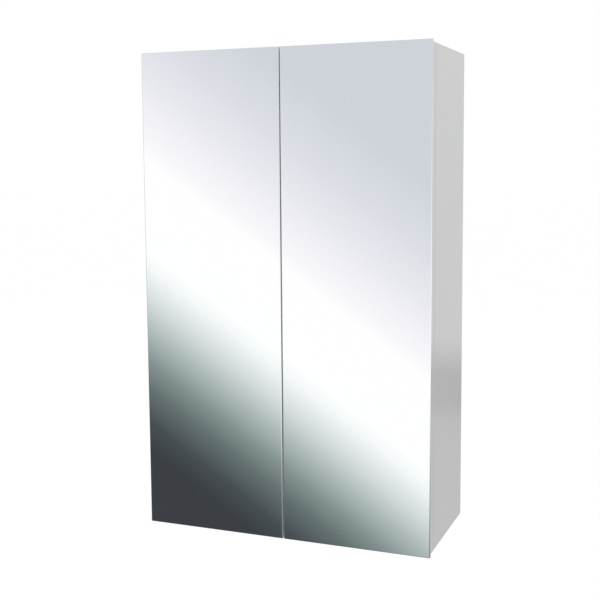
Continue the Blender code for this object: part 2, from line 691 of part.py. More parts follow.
def main():
    global PARTS, CUTTERS
    for item in list(bpy.data.objects):
        bpy.data.objects.remove(item)
    PARTS = new_collection("mirror_cabinet")
    CUTTERS = new_collection("cutters")
    finishes = make_finishes()
    build_carcass(finishes)
    build_shelves(finishes)
    for side_name, side in SIDES.items():
        door_axis = build_door(side_name, side, finishes)
        build_hinges(side_name, side, door_axis, finishes)


main()
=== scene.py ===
"""Finishes for a wall-hung bathroom mirror cabinet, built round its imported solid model."""
import json
import math

import bmesh
import bpy
from bpy.props import FloatProperty, FloatVectorProperty, PointerProperty
from mathutils import Matrix, Vector


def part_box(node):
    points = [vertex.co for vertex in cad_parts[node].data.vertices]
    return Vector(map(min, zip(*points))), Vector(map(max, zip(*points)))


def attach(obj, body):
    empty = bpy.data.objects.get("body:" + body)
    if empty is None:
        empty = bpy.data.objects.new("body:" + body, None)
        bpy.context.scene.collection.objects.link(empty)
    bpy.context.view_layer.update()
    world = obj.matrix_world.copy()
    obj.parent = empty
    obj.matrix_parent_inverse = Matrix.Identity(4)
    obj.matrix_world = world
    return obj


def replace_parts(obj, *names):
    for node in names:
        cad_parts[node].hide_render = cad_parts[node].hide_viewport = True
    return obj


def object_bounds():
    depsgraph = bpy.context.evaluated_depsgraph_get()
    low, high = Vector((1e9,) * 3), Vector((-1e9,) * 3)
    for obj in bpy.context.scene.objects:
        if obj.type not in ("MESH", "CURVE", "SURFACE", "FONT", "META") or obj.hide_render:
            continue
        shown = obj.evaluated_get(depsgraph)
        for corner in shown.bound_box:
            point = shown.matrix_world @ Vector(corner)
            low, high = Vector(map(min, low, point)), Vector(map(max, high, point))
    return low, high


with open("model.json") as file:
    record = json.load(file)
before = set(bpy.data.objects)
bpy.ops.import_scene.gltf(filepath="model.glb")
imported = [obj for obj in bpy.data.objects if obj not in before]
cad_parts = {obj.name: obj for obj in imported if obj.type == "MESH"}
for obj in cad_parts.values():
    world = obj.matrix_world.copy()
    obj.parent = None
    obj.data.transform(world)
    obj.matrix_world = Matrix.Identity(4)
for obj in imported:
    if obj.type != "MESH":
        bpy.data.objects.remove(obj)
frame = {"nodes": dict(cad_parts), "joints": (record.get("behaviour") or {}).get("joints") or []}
CAD_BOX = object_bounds()

bl_info = {
    "name": "Mirror cabinet finishes",
    "version": (1, 0, 0),
    "blender": (4, 5, 0),
    "location": "View3D > Sidebar > Cabinet",
    "description": "Lacquer, silvered glass, clear shelves and nickel hinges for a two-door mirror cabinet",
    "category": "Object",
}

SIDES = {"left": 1, "right": -1}
LEVELS = ("lower", "upper")
HINGES = [(side, level) for side in SIDES for level in LEVELS]
CARCASS = "carcass"
UP = Vector((0, 0, 1))
TO_WALL = Vector((0, 1, 0))


# ---------------------------------------------------------------- shader maths

class Wire:
    """One output of a node; an expression on it adds Math nodes."""

    def __init__(self, bench, socket):
        self.bench, self.socket = bench, socket

    def math(self, operation, *values):
        return self.bench.node("ShaderNodeMath", {"operation": operation}, dict(enumerate(values)))

    def __add__(self, other):
        return self.math("ADD", self, other)

    __radd__ = __add__

    def __sub__(self, other):
        return self.math("SUBTRACT", self, other)

    def __rsub__(self, other):
        return self.math("SUBTRACT", other, self)

    def __mul__(self, other):
        return self.math("MULTIPLY", self, other)

    __rmul__ = __mul__

    def __truediv__(self, other):
        return self.math("DIVIDE", self, other)

    def size(self):
        return self.math("ABSOLUTE", self)

    def sine(self):
        return self.math("SINE", self)

    def at_least(self, other):
        return self.math("MAXIMUM", self, other)

    def at_most(self, other):
        return self.math("MINIMUM", self, other)

    def rise(self, low, high):
        """0 below low, 1 above high, and a smooth step between."""
        return self.bench.node("ShaderNodeMapRange", {"interpolation_type": "SMOOTHSTEP"},
                               {"Value": self, "From Min": low, "From Max": high})

    def fall(self, low, high):
        return 1 - self.rise(low, high)


class Bench:
    """The node tree of one finish while it is laid out."""

    def __init__(self, tree):
        self.tree = tree
        tree.nodes.clear()

    def node(self, kind, settings=None, sockets=None, output=0):
        """Add a node, its settings first and then its sockets' values or wires."""
        made = self.tree.nodes.new(kind)
        for name, value in (settings or {}).items():
            if name == "stops":
                lay_stops(made.color_ramp, value)
            else:
                setattr(made, name, value)
        for key, value in (sockets or {}).items():
            if isinstance(value, Wire):
                self.tree.links.new(value.socket, made.inputs[key])
            else:
                made.inputs[key].default_value = value
        if isinstance(output, tuple):
            return tuple(Wire(self, made.outputs[name]) for name in output)
        return Wire(self, made.outputs[output]) if made.outputs else None

    def place(self):
        return self.node("ShaderNodeTexCoord", output="Object")

    def facing(self):
        return self.parts(self.node("ShaderNodeTexCoord", output="Normal"))

    def parts(self, vector):
        return self.node("ShaderNodeSeparateXYZ", sockets={0: vector}, output=("X", "Y", "Z"))

    def stretched(self, vector, factors):
        return self.node("ShaderNodeVectorMath", {"operation": "MULTIPLY"}, {0: vector, 1: factors})

    def cloud(self, vector, scale, detail=2.0, roughness=0.5):
        return self.node("ShaderNodeTexNoise", sockets={
            "Vector": vector, "Scale": scale, "Detail": detail, "Roughness": roughness})

    def mix(self, share, first, second):
        return self.node("ShaderNodeMix", {"data_type": "RGBA"}, {0: share, 6: first, 7: second}, output=2)

    def bump(self, height, distance, strength=1.0):
        return self.node("ShaderNodeBump", sockets={
            "Height": height, "Distance": distance, "Strength": strength})

    def coat(self, **sockets):
        """End the tree in a Principled shader; names use underscores for spaces."""
        shader = self.node("ShaderNodeBsdfPrincipled",
                           sockets={name.replace("_", " "): value for name, value in sockets.items()})
        self.node("ShaderNodeOutputMaterial", sockets={"Surface": shader})


def lay_stops(ramp, stops):
    while len(ramp.elements) < len(stops):
        ramp.elements.new(1.0)
    for element, (position, colour) in zip(ramp.elements, stops):
        element.position = position
        element.color = opaque(colour)


def opaque(colour):
    return (*colour[:3], 1.0)


def shade(colour, factor):
    return opaque([part * factor for part in colour[:3]])


def new_finish(name):
    finish = bpy.data.materials.new(name)
    finish.use_nodes = True
    return finish, Bench(finish.node_tree)


def arris_distance(bench, place, low, high):
    """Distance in metres from a point on a board's face to the nearest arris of the board."""
    gaps = []
    for coordinate, start, end in zip(bench.parts(place), low, high):
        gaps.append((end - start) / 2 - (coordinate - (start + end) / 2).size())
    first, second, third = gaps
    return first.at_most(second).at_least(first.at_least(second).at_most(third))


# ---------------------------------------------------------------- finishes

def lacquered_board(name, low, high, look, bare_back=False):
    """Sprayed gloss lacquer: orange peel, slow tone drift, dust nibs, thin film and scuffs on arrises."""
    finish, bench = new_finish(name)
    place = bench.place()
    arris = arris_distance(bench, place, low, high)
    peel = bench.cloud(place, 420.0, 2.0)
    ripple = bench.cloud(place, 70.0, 1.0)
    drift = bench.cloud(place, 7.0, 3.0)
    nibs = bench.cloud(place, 1500.0, 0.0).rise(0.77, 0.82)
    scuffs = arris.fall(0.0002, 0.0011) * bench.cloud(place, 130.0, 4.0, 0.6).rise(0.56, 0.68)
    dust = bench.cloud(place, 16.0, 5.0, 0.65).rise(0.45, 0.75)
    colour = bench.mix(drift.rise(0.3, 0.7), shade(look.lacquer, 0.982), opaque(look.lacquer))
    colour = bench.mix(arris.fall(0.0004, 0.0014) * 0.5, colour, shade(look.lacquer, 0.95))
    colour = bench.mix(scuffs * look.wear, colour, opaque(look.worn_arris))
    colour = bench.mix(nibs * 0.25, colour, shade(look.lacquer, 0.8))
    roughness = look.gloss + dust * 0.05 + scuffs * 0.25 + nibs * 0.2
    height = peel * 0.35 + ripple * 0.8 + nibs * 0.5
    if bare_back:
        bare = bench.facing()[1].rise(0.80, 0.95)
        fibre = bench.cloud(bench.stretched(place, (1.0, 1.0, 0.35)), 900.0, 6.0, 0.7)
        board = bench.mix(fibre.rise(0.32, 0.70), shade(look.bare_board, 0.62), shade(look.bare_board, 1.12))
        overspray = arris.fall(0.0, 0.006) * bench.cloud(place, 40.0, 3.0).rise(0.3, 0.8)
        board = bench.mix(overspray * 0.4, board, shade(look.lacquer, 0.85))
        colour = bench.mix(bare, colour, board)
        roughness = roughness + bare * 0.6
        height = height + bare * fibre * 6.0
    bench.coat(Base_Color=colour, Roughness=roughness, IOR=1.5, Coat_Weight=0.35, Coat_Roughness=0.06,
               Normal=bench.bump(height, 0.00002))
    return finish


def white_hardboard(look):
    """Thin hardboard: painted smooth on the inside, brown with the press's screen print behind."""
    finish, bench = new_finish("white_hardboard")
    place = bench.place()
    across, _, up = bench.parts(place)
    behind = bench.facing()[1].rise(0.2, 0.8)
    pitch = 2 * math.pi / 0.0016
    weave = ((across * pitch).sine() * (up * pitch).sine()).size()
    fibre = bench.cloud(bench.stretched(place, (0.5, 1.0, 1.0)), 700.0, 6.0, 0.7)
    drift = bench.cloud(place, 5.0, 4.0).rise(0.3, 0.7)
    brown = bench.mix(fibre.rise(0.3, 0.7), shade(look.bare_board, 0.42), shade(look.bare_board, 0.72))
    brown = bench.mix(weave * 0.35, brown, shade(look.bare_board, 0.36))
    brown = bench.mix(drift * 0.3, brown, shade(look.bare_board, 0.55))
    paint = bench.mix(drift * 0.5, opaque(look.lacquer), shade(look.lacquer, 0.96))
    peel = bench.cloud(place, 520.0, 3.0)
    bench.coat(Base_Color=bench.mix(behind, paint, brown), Roughness=0.34 + behind * 0.45 + drift * 0.06,
               IOR=1.5, Normal=bench.bump(peel * 0.8 + behind * (weave * 3.0 + fibre * 3.0), 0.00003))
    return finish


def silvered_front(look):
    """Silver seen through clear float glass, with faint wiping marks near the finger pulls."""
    finish, bench = new_finish("silvered_front")
    place = bench.place()
    _, _, up = bench.parts(place)
    wipe = bench.cloud(bench.stretched(place, (1.0, 1.0, 0.3)), 26.0, 4.0, 0.6).rise(0.50, 0.80)
    touch = up.fall(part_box("mirror_left")[0].z + 0.01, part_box("mirror_left")[0].z + 0.09)
    prints = bench.cloud(place, 75.0, 3.0).rise(0.52, 0.66) * touch
    dust = bench.cloud(place, 1700.0, 0.0).rise(0.79, 0.83)
    float_wave = bench.cloud(place, 9.0, 1.0)
    bench.coat(Base_Color=bench.mix(dust * 0.3, opaque(look.silver), shade(look.silver, 0.75)), Metallic=1.0,
               Roughness=0.004 + wipe * 0.008 + prints * 0.03 + dust * 0.2,
               Normal=bench.bump(float_wave, 0.00002, 0.5))
    return finish


def polished_edge(look):
    """The ground and polished edge: green-grey glass, darkened towards the back by painted shade, with a dark
    hair line where the silver ends.
    """
    finish, bench = new_finish("polished_glass_edge")
    place = bench.place()
    _, depth, _ = bench.parts(place)
    low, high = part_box("mirror_left")
    silver_line = (depth - (high.y - 0.0004)).size().fall(0.0002, 0.0007)
    wheel = bench.cloud(bench.stretched(place, (1.0, 12.0, 1.0)), 500.0, 3.0)
    # Painted shade: the edge's colour darkens from the front face to 0.72 of its tint at the back, next to
    # the door board.
    tint = bench.mix((depth - low.y).rise(0.0, high.y - low.y), opaque(look.edge), shade(look.edge, 0.72))
    tint = bench.mix(silver_line * 0.7, tint, shade(look.edge, 0.3))
    bench.coat(Base_Color=tint, Metallic=0.1, Roughness=0.07 + wheel * 0.08, IOR=1.52,
               Normal=bench.bump(wheel, 0.00001))
    return finish


def backing_paint(look):
    """Grey protective paint over the silver, with roller stipple and a few runs."""
    finish, bench = new_finish("mirror_backing_paint")
    place = bench.place()
    stipple = bench.cloud(place, 900.0, 3.0, 0.6)
    runs = bench.cloud(bench.stretched(place, (1.0, 1.0, 0.08)), 60.0, 2.0).rise(0.55, 0.7)
    colour = bench.mix(stipple.rise(0.35, 0.65), shade(look.backing, 0.93), opaque(look.backing))
    colour = bench.mix(runs * 0.4, colour, shade(look.backing, 0.85))
    bench.coat(Base_Color=colour, Roughness=0.5 + stipple * 0.15, Normal=bench.bump(stipple + runs, 0.00004))
    return finish


def clear_glass(name, tint, roughness, wheel_marks, through):
    """Clear toughened glass with a light wiping haze; its ground rim lets less light through."""
    finish, bench = new_finish(name)
    place = bench.place()
    haze = bench.cloud(bench.stretched(place, (0.4, 1.0, 1.0)), 30.0, 4.0, 0.6).rise(0.5, 0.8)
    grind = bench.cloud(bench.stretched(place, (1.0, 1.0, 10.0)), 500.0, 3.0)
    dust = bench.cloud(place, 1400.0, 0.0).rise(0.77, 0.82)
    colour = bench.mix(haze * 0.25 + dust * 0.3, opaque(tint), shade(tint, 0.9))
    bench.coat(Base_Color=colour, Roughness=roughness + haze * 0.02 + dust * 0.2 + grind * wheel_marks,
               IOR=1.52, Transmission_Weight=through, Normal=bench.bump(grind * wheel_marks, 0.00002))
    return finish


def plated_metal(name, colour, roughness, grain=1.0):
    """Barrel-plated pressed steel: fine tumbling grain, soft stains and rubbed bright spots."""
    finish, bench = new_finish(name)
    place = bench.place()
    tumble = bench.cloud(place, 2600.0, 3.0, 0.6)
    press = bench.cloud(bench.stretched(place, (1.0, 1.0, 6.0)), 650.0, 3.0)
    stain = bench.cloud(place, 160.0, 4.0, 0.6).rise(0.42, 0.70)
    rub = bench.cloud(place, 420.0, 4.0, 0.6).rise(0.58, 0.68)
    tone = bench.mix(stain * 0.5, opaque(colour), shade(colour, 0.80))
    tone = bench.mix(rub * 0.4, tone, shade(colour, 1.12))
    bench.coat(Base_Color=tone, Metallic=1.0,
               Roughness=roughness + tumble * 0.10 + stain * 0.08 - rub * 0.06,
               Normal=bench.bump(tumble * 0.6 + press * 0.4, 0.00001 * grain))
    return finish


def soft_bumper(look):
    """Clear soft plastic dome, slightly hazed and dusty."""
    finish, bench = new_finish("clear_bumper")
    place = bench.place()
    grain = bench.cloud(place, 1800.0, 3.0)
    dust = bench.cloud(place, 700.0, 4.0).rise(0.5, 0.7)
    bench.coat(Base_Color=bench.mix(dust * 0.4, opaque(look.bumper), shade(look.bumper, 0.86)),
               Roughness=0.35 + dust * 0.2, IOR=1.45, Transmission_Weight=0.3,
               Normal=bench.bump(grain, 0.00002))
    return finish


# ---------------------------------------------------------------- mesh tools

def piece_from(source, name, body, finishes, place=None):
    """Make a built mesh into a piece that rides on a body and wears its finishes."""
    mesh = mesh_from(source, name) if isinstance(source, bmesh.types.BMesh) else source
    piece = bpy.data.objects.new(name, mesh)
    bpy.context.scene.collection.objects.link(piece)
    if place:
        piece.matrix_world = place
    if not mesh.materials:
        for finish in finishes:
            mesh.materials.append(finish)
    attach(piece, body)
    even_shading(piece)
    return piece


def mesh_from(bm, name):
    bmesh.ops.recalc_face_normals(bm, faces=bm.faces)
    for face in bm.faces:
        face.smooth = True
    mesh = bpy.data.meshes.new(name)
    bm.to_mesh(mesh)
    bm.free()
    return mesh


def even_shading(piece):
    """Let the broad faces set the shading, so that they stay flat beside rounded arrises."""
    step = piece.modifiers.new("Shading", "WEIGHTED_NORMAL")
    step.mode = "FACE_AREA"
    step.weight = 90
    step.keep_sharp = True
    return piece


def rounded_board(low, high, radius, segments):
    bm = bmesh.new()
    bmesh.ops.create_cube(bm, size=1.0)
    bmesh.ops.scale(bm, vec=high - low, verts=bm.verts)
    bmesh.ops.translate(bm, vec=(low + high) / 2, verts=bm.verts)
    bmesh.ops.bevel(bm, geom=bm.edges[:], offset=radius, segments=segments, profile=0.5, affect="EDGES")
    bmesh.ops.recalc_face_normals(bm, faces=bm.faces)
    return bm


def eased(profile, radius, steps=3):
    """A (radius, height) profile with each inner corner rounded."""
    points = [Vector(point) for point in profile]
    path = [points[0]]
    for before, corner, after in zip(points, points[1:], points[2:]):
        reach = min(radius, (before - corner).length * 0.45, (after - corner).length * 0.45)
        start = corner + (before - corner).normalized() * reach
        end = corner + (after - corner).normalized() * reach
        for step in range(steps + 1):
            t = step / steps
            path.append(start.lerp(corner, t).lerp(corner.lerp(end, t), t))
    return path + [points[-1]]


def add_turned(bm, profile, sides, place=Matrix.Identity(4)):
    """Turn a (radius, height) profile about Z into a closed form, in a mesh being built."""
    rings = []
    for radius, height in profile:
        count = sides if radius > 1e-7 else 1
        angles = [2 * math.pi * step / count for step in range(count)]
        rings.append([bm.verts.new(place @ Vector((radius * math.cos(a), radius * math.sin(a), height)))
                      for a in angles])
    for near, far in zip(rings, rings[1:]):
        for step in range(sides):
            corners = [near[step % len(near)], near[(step + 1) % len(near)],
                       far[(step + 1) % len(far)], far[step % len(far)]]
            unique = list(dict.fromkeys(corners))
            if len(unique) > 2:
                bm.faces.new(unique)
    return bm


SLIVER = 0.000005
SHARP = math.radians(30)


def rounded(*lengths):
    """Lengths to a hundredth of a millimetre, so that like pieces come out alike wherever they are."""
    return [round(length, 5) for length in lengths]


def shaped(mesh, *steps):
    """The mesh after a row of joins and cuts, each given as (operation, other mesh)."""
    blank = bpy.data.objects.new("blank", mesh)
    held = [blank]
    for operation, other in steps:
        tool = bpy.data.objects.new("tool", other)
        held.append(tool)
        step = blank.modifiers.new(operation.title(), "BOOLEAN")
        step.operation, step.solver, step.object = operation, "EXACT", tool
    for item in held:
        bpy.context.scene.collection.objects.link(item)
    bpy.context.view_layer.update()
    result = bpy.data.meshes.new_from_object(blank.evaluated_get(bpy.context.evaluated_depsgraph_get()))
    for item in held:
        bpy.data.objects.remove(item)
    bm = bmesh.new()
    bm.from_mesh(result)
    bmesh.ops.remove_doubles(bm, verts=bm.verts, dist=SLIVER)
    bmesh.ops.dissolve_degenerate(bm, edges=bm.edges, dist=SLIVER)
    for edge in bm.edges:
        edge.smooth = edge.calc_face_angle(0.0) < SHARP
    bm.to_mesh(result)
    bm.free()
    for polygon in result.polygons:
        polygon.use_smooth = True
    return result


def rounded_rectangle(low_x, high_x, low_y, high_y, radii, steps=5):
    """An outline from the low corner round to the high left one, each corner with its own radius."""
    corners = [((low_x, low_y), (1, 1), 180), ((high_x, low_y), (-1, 1), 270),
               ((high_x, high_y), (-1, -1), 0), ((low_x, high_y), (1, -1), 90)]
    outline = []
    for ((x, y), (right, up), start), radius in zip(corners, radii):
        if radius <= 0:
            outline.append((x, y))
            continue
        for step in range(steps + 1):
            turn = math.radians(start + 90 * step / steps)
            outline.append((x + radius * (right + math.cos(turn)), y + radius * (up + math.sin(turn))))
    return outline


def slab(spans, radii, depth, place, ease, steps=5):
    """A plate with rounded corners and eased faces, made solid along its own Z."""
    low_x, high_x, low_y, high_y = spans
    bm = bmesh.new()
    rings = []
    for inset, height in ((ease, 0.0), (0.0, ease), (0.0, depth - ease), (ease, depth)):
        corners = [max(radius - inset, inset / 10) if radius else 0.0 for radius in radii]
        outline = rounded_rectangle(low_x + inset, high_x - inset, low_y + inset, high_y - inset,
                                    corners, steps)
        rings.append([bm.verts.new(place @ Vector((x, y, height))) for x, y in outline])
    bm.faces.new(rings[0])
    bm.faces.new(rings[-1])
    for near, far in zip(rings, rings[1:]):
        for step in range(len(near)):
            after = (step + 1) % len(near)
            bm.faces.new([near[step], near[after], far[after], far[step]])
    return mesh_from(bm, "slab")


def rod(start, direction, radius, length, sides=24):
    """A plain bar, used to bore holes."""
    profile = [Vector(point) for point in ((0.0, 0.0), (radius, 0.0), (radius, length), (0.0, length))]
    return mesh_from(add_turned(bmesh.new(), profile, sides, standing(start, direction)), "rod")


def axes(origin, first, second, third):
    """A place whose own axes run along three directions."""
    place = Matrix((first, second, third)).transposed().to_4x4()
    return Matrix.Translation(origin) @ place


def standing(origin, direction, spin=0.0):
    """A place whose Z axis runs along a direction."""
    turn = Vector(direction).to_track_quat("Z", "Y").to_matrix().to_4x4()
    return Matrix.Translation(origin) @ turn @ Matrix.Rotation(spin, 4, "Z")


def dress(node, finish):
    """Give a carried-over node its finish."""
    item = frame["nodes"][node]
    item.data.materials.clear()
    item.data.materials.append(finish)
    return item


def ease_arrises(item, width, segments=2):
    """Weld a piece's faces together and round its arrises."""
    weld = item.modifiers.new("Weld", "WELD")
    weld.merge_threshold = 0.000001
    step = item.modifiers.new("Arrises", "BEVEL")
    step.width = width
    step.segments = segments
    step.limit_method = "ANGLE"
    step.angle_limit = math.radians(38)
    step.use_clamp_overlap = True
    for polygon in item.data.polygons:
        polygon.use_smooth = True
    return even_shading(item)


# ---------------------------------------------------------------- settings

def colour_property(name, description, default):
    return FloatVectorProperty(name=name, description=description, subtype="COLOR", size=3,
                               min=0.0, max=1.0, default=default)


def length_property(name, description, default):
    return FloatProperty(name=name, description=description, default=default, min=0.0, unit="LENGTH",
                         subtype="DISTANCE", precision=4)


class BoardSettings(bpy.types.PropertyGroup):
    lacquer: colour_property("Lacquer", "Colour of the gloss lacquer", (0.80, 0.80, 0.80))
    worn_arris: colour_property("Worn arris", "Primer where the lacquer is rubbed", (0.60, 0.59, 0.56))
    bare_board: colour_property("Bare board", "Fibreboard where it isn't lacquered", (0.50, 0.36, 0.24))
    bumper: colour_property("Bumper", "Soft plastic of the door pads", (0.80, 0.82, 0.83))
    gloss: FloatProperty(name="Gloss", description="Roughness of the lacquer film", default=0.07,
                         min=0.0, max=1.0, subtype="FACTOR")
    wear: FloatProperty(name="Wear", description="How much the arrises are rubbed", default=0.5,
                        min=0.0, max=1.0, subtype="FACTOR")
    arris: length_property("Arris", "Rounding of the boards' arrises", 0.00025)


class MirrorSettings(bpy.types.PropertyGroup):
    silver: colour_property("Silver", "Reflection colour of the silvered glass", (0.94, 0.95, 0.955))
    edge: colour_property("Edge", "Tint of the polished edge", (0.86, 0.90, 0.89))
    backing: colour_property("Backing", "Protective paint behind the silver", (0.42, 0.45, 0.46))
    pencil_edge: length_property("Edge rounding", "Radius ground on the arrises", 0.0012)


class ShelfSettings(bpy.types.PropertyGroup):
    glass: colour_property("Glass", "Tint looking through a shelf", (0.93, 0.98, 0.96))
    rim: colour_property("Rim", "Tint looking into a shelf's edge", (0.44, 0.70, 0.62))
    pin: colour_property("Pins", "Plating of the shelf pins", (0.74, 0.74, 0.73))
    arris: length_property("Arris", "Rounding of the shelves' arrises", 0.0006)


class HingeSettings(bpy.types.PropertyGroup):
    nickel: colour_property("Nickel", "Plating of the pressed parts", (0.66, 0.64, 0.60))
    zinc: colour_property("Zinc", "Plating of the screws and rivets", (0.72, 0.73, 0.74))
    arris: length_property("Arris", "Rounding of the pressed parts' arrises", 0.00018)
    screw_spacing: length_property("Cup screw spacing", "Height between a cup's two screws", 0.045)
    screw_offset: length_property("Cup screw offset", "From the cup's middle to its screws", 0.0095)


class StageSettings(bpy.types.PropertyGroup):
    floor: colour_property("Floor", "Colour of the studio floor", (0.92, 0.92, 0.92))
    floor_drop: length_property("Floor drop", "From the cabinet's underside to the floor", 0.62)
    lens: FloatProperty(name="Lens", description="Focal length of the camera", default=62.41,
                        min=1.0, unit="CAMERA")
    ambient: FloatProperty(name="Ambient", description="Strength of the even studio light", default=0.66,
                           min=0.0, max=10.0)


class CabinetSettings(bpy.types.PropertyGroup):
    boards: PointerProperty(type=BoardSettings, name="Boards", description="Carcass and door boards")
    mirrors: PointerProperty(type=MirrorSettings, name="Mirrors", description="The two mirrors")
    shelves: PointerProperty(type=ShelfSettings, name="Shelves", description="Glass shelves and pins")
    hinges: PointerProperty(type=HingeSettings, name="Hinges", description="Concealed hinges")
    stage: PointerProperty(type=StageSettings, name="Stage", description="Floor, light and camera")


def settings():
    return bpy.context.scene.cabinet


# ---------------------------------------------------------------- carcass and doors

class CABINET_OT_carcass(bpy.types.Operator):
    """Lacquer the carcass boards and finish the hardboard back."""
    bl_idname = "cabinet.carcass"
    bl_label = "Finish the carcass"

    def execute(self, context):
        look = settings().boards
        panels = [f"side_panel_{side}" for side in SIDES] + ["top_panel", "bottom_panel"]
        rails = [f"fixing_rail_{level}" for level in LEVELS]
        for node in panels + rails:
            finish = lacquered_board(f"lacquer_{node}", *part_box(node), look, bare_back=True)
            ease_arrises(dress(node, finish), look.arris)
        ease_arrises(dress("back_panel", white_hardboard(look)), look.arris)
        return {"FINISHED"}


class CABINET_OT_doors(bpy.types.Operator):
    """Lacquer the door boards and mould their bumper pads."""
    bl_idname = "cabinet.doors"
    bl_label = "Finish the doors"

    def execute(self, context):
        look = settings().boards
        pad = soft_bumper(look)
        for side in SIDES:
            node = f"door_board_{side}"
            finish = lacquered_board(f"lacquer_{node}", *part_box(node), look)
            ease_arrises(dress(node, finish), look.arris)
            for level in LEVELS:
                self.bumper(f"door_bumper_{side}_{level}", f"door_{side}", pad)
        return {"FINISHED"}

    def bumper(self, node, body, finish):
        low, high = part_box(node)
        radius, height = (high.x - low.x) / 2, high.y - low.y
        profile = [(0.0, 0.0), (radius, 0.0), (radius, height * 0.42), (radius * 0.86, height * 0.72),
                   (radius * 0.55, height * 0.93), (0.0, height)]
        bm = add_turned(bmesh.new(), eased(profile, height * 0.3), 40)
        middle = (low + high) / 2
        place = standing((middle.x, low.y, middle.z), TO_WALL)
        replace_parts(piece_from(bm, f"bumper_pad_{node[12:]}", body, [finish], place), node)


class CABINET_OT_mirrors(bpy.types.Operator):
    """Build the two mirrors: silvered front, polished edge and painted back."""
    bl_idname = "cabinet.mirrors"
    bl_label = "Build the mirrors"

    def execute(self, context):
        look = settings().mirrors
        finishes = [silvered_front(look), polished_edge(look), backing_paint(look)]
        for side in SIDES:
            node = f"mirror_{side}"
            bm = self.mirror(*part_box(node), look)
            piece = piece_from(bm, f"mirror_glass_{side}", f"door_{side}", finishes)
            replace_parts(piece, node)
        return {"FINISHED"}

    def mirror(self, low, high, look):
        """The silver shows through the front and its rounded arrises, and ends at the edge."""
        bm = rounded_board(low, high, look.pencil_edge, 6)
        for face in bm.faces:
            if face.normal.y < -0.12:
                face.material_index = 0
            else:
                face.material_index = 2 if face.normal.y > 0.9999 else 1
        return bm


# ---------------------------------------------------------------- shelves

class CABINET_OT_shelves(bpy.types.Operator):
    """Build the glass shelves and turn their pins."""
    bl_idname = "cabinet.shelves"
    bl_label = "Build the shelves"

    def execute(self, context):
        look = settings().shelves
        finishes = [clear_glass("shelf_glass", look.glass, 0.0, 0.0, 1.0),
                    clear_glass("shelf_glass_rim", look.rim, 0.05, 0.1, 0.45)]
        pin = plated_metal("pin_plating", look.pin, 0.14)
        for number in (1, 2):
            node = f"shelf_{number}"
            bm = rounded_board(*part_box(node), look.arris, 3)
            for face in bm.faces:
                face.material_index = 0 if abs(face.normal.z) > 0.9999 else 1
            piece = piece_from(bm, f"glass_shelf_{number}", CARCASS, finishes)
            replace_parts(piece, node)
            for side, way in SIDES.items():
                for row in ("front", "back"):
                    self.pin(f"shelf_pin_{number}_{side}_{row}", way, pin)
        return {"FINISHED"}

    def pin(self, node, way, finish):
        """A turned pin: shank, collar against the panel and a grooved peg under the glass."""
        low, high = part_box(node)
        length, collar = high.x - low.x, (high.z - low.z) / 2
        peg = collar * 0.595
        shank_end, collar_end = length * 0.461, length * 0.538
        profile = [(0.0, 0.0), (peg * 0.8, 0.0), (peg, 0.0006), (peg, shank_end), (collar, shank_end),
                   (collar, collar_end), (peg, collar_end), (peg, length - 0.0020),
                   (peg * 0.86, length - 0.0017),
                   (peg * 0.86, length - 0.0013), (peg, length - 0.0010), (peg * 0.9, length), (0.0, length)]
        bm = add_turned(bmesh.new(), eased(profile, 0.00025), 36)
        middle = (low + high) / 2
        start = low.x if way > 0 else high.x
        place = standing((start, middle.y, middle.z), (way, 0, 0))
        piece = piece_from(bm, f"turned_{node[6:]}", CARCASS, [finish], place)
        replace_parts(piece, node)


# ---------------------------------------------------------------- hinges

CUP_LIP, CUP_WALL, CUP_RIM, CUP_FILLET = 0.001, 0.001, 0.0008, 0.0022
FLANGE_REACH, FLANGE_THICKNESS, FLANGE_DROP = 0.0155, 0.00062, 0.0001
FLANGE_CORNERS = (0.002, 0.006, 0.006, 0.002)
LUG_SPAN, LUG_LAYER, LUG_DROP = (-0.0127, -0.00495), (0.0056, 0.0095), 0.0006
LUG_CORNERS = (0.0, 0.0, 0.0019, 0.0019)
PIN_EYES = (((-0.0105, 0.0028), 0.0013), ((-0.0083, 0.0067), 0.00245))
ADJUSTER_STEP = 0.014
RIDGE_HALF, RIDGE_CORNER = 0.0048, 0.0012
WING_HALF, WING_HEIGHT, WING_STEP, SCREW_HOLE = 0.007, 0.002, 0.00003, 0.0022
CUP_SCREW_RADIUS = 0.0034


